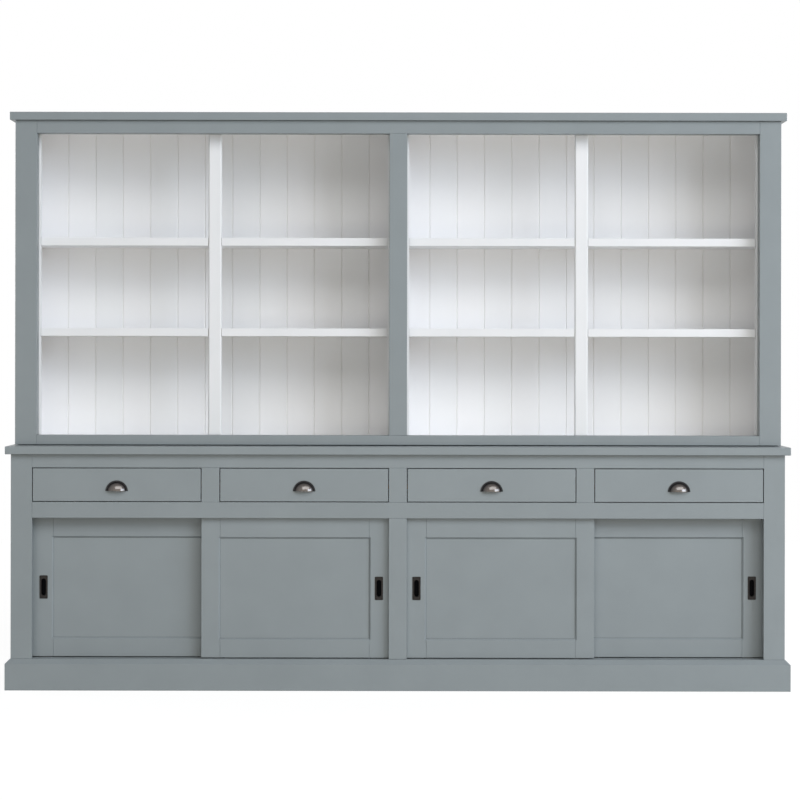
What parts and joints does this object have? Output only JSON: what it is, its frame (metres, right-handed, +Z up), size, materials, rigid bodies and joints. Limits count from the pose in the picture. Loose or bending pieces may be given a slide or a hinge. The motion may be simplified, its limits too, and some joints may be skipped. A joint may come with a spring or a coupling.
{
  "type": "display cabinet",
  "caption": "Wide painted country cabinet: open shelved bookcase with white grooved back on a buffet with drawers, cup pulls and framed sliding doors on a bevelled plinth.",
  "frame": {"origin": "middle of the footprint, on the floor", "axes": "+X to the right seen from the front, the front faces -Y, +Z up"},
  "size_m": [2.7, 0.48, 1.997],
  "materials": {
    "grey_paint": "satin sprayed paint",
    "white_paint": "satin sprayed paint",
    "bare_pine": "clear matt lacquer",
    "beech": "waxed",
    "bronze": "antique dark bronze",
    "glide_nylon": "moulded",
    "pin_steel": "nickel plated",
    "felt": "felt"
  },
  "bodies": {
    "carcass": {"cornice_board": "grey_paint", "upper_stiles": "grey_paint", "upper_centre_stile": "grey_paint", "upper_rails": "grey_paint", "upper_sides": "grey_paint", "counter_top": "grey_paint", "base_stiles": "grey_paint", "base_centre_stile": "grey_paint", "base_rails": "grey_paint", "base_sides": "grey_paint", "drawer_muntins": "grey_paint", "plinth": "grey_paint", "door_jambs": "grey_paint", "door_tracks": "grey_paint", "upper_top_panel": "white_paint", "upper_bottom_panel": "white_paint", "upper_centre_partition": "white_paint", "upper_back_panels": "white_paint", "bay_posts": "white_paint", "upper_side_linings": "white_paint", "upper_shelves": "white_paint", "lower_shelves": "white_paint", "base_bottom_board": "white_paint", "base_centre_partition": "white_paint", "base_back_panel": "white_paint", "drawer_deck": "white_paint", "drawer_partitions": "white_paint", "base_bearers": "bare_pine", "drawer_stops": "bare_pine", "drawer_runners": "beech", "shelf_pins": "pin_steel", "spacer_pads": "felt"},
    "drawer_1": {"drawer_1_front": "grey_paint", "drawer_1_box": "bare_pine", "drawer_1_cup_pull": "bronze"},
    "drawer_2": {"drawer_2_front": "grey_paint", "drawer_2_box": "bare_pine", "drawer_2_cup_pull": "bronze"},
    "drawer_3": {"drawer_3_front": "grey_paint", "drawer_3_box": "bare_pine", "drawer_3_cup_pull": "bronze"},
    "drawer_4": {"drawer_4_front": "grey_paint", "drawer_4_box": "bare_pine", "drawer_4_cup_pull": "bronze"},
    "door_1": {"door_1_frame": "grey_paint", "door_1_panel": "grey_paint", "door_1_flush_pull": "bronze", "door_1_guides": "glide_nylon"},
    "door_2": {"door_2_frame": "grey_paint", "door_2_panel": "grey_paint", "door_2_flush_pull": "bronze", "door_2_guides": "glide_nylon"},
    "door_3": {"door_3_frame": "grey_paint", "door_3_panel": "grey_paint", "door_3_flush_pull": "bronze", "door_3_guides": "glide_nylon"},
    "door_4": {"door_4_frame": "grey_paint", "door_4_panel": "grey_paint", "door_4_flush_pull": "bronze", "door_4_guides": "glide_nylon"}
  },
  "joints": [
    {"name": "drawer_1_slide", "type": "slide", "parent": "carcass", "child": "drawer_1", "axis": [0, -1, 0], "range_m": [0, 0.3]},
    {"name": "drawer_2_slide", "type": "slide", "parent": "carcass", "child": "drawer_2", "axis": [0, -1, 0], "range_m": [0, 0.3]},
    {"name": "drawer_3_slide", "type": "slide", "parent": "carcass", "child": "drawer_3", "axis": [0, -1, 0], "range_m": [0, 0.3]},
    {"name": "drawer_4_slide", "type": "slide", "parent": "carcass", "child": "drawer_4", "axis": [0, -1, 0], "range_m": [0, 0.3]},
    {"name": "door_1_slide", "type": "slide", "parent": "carcass", "child": "door_1", "axis": [1, 0, 0], "range_m": [0, 0.595]},
    {"name": "door_2_slide", "type": "slide", "parent": "carcass", "child": "door_2", "axis": [1, 0, 0], "range_m": [-0.595, 0]},
    {"name": "door_3_slide", "type": "slide", "parent": "carcass", "child": "door_3", "axis": [1, 0, 0], "range_m": [0, 0.595]},
    {"name": "door_4_slide", "type": "slide", "parent": "carcass", "child": "door_4", "axis": [1, 0, 0], "range_m": [-0.595, 0]}
  ]
}
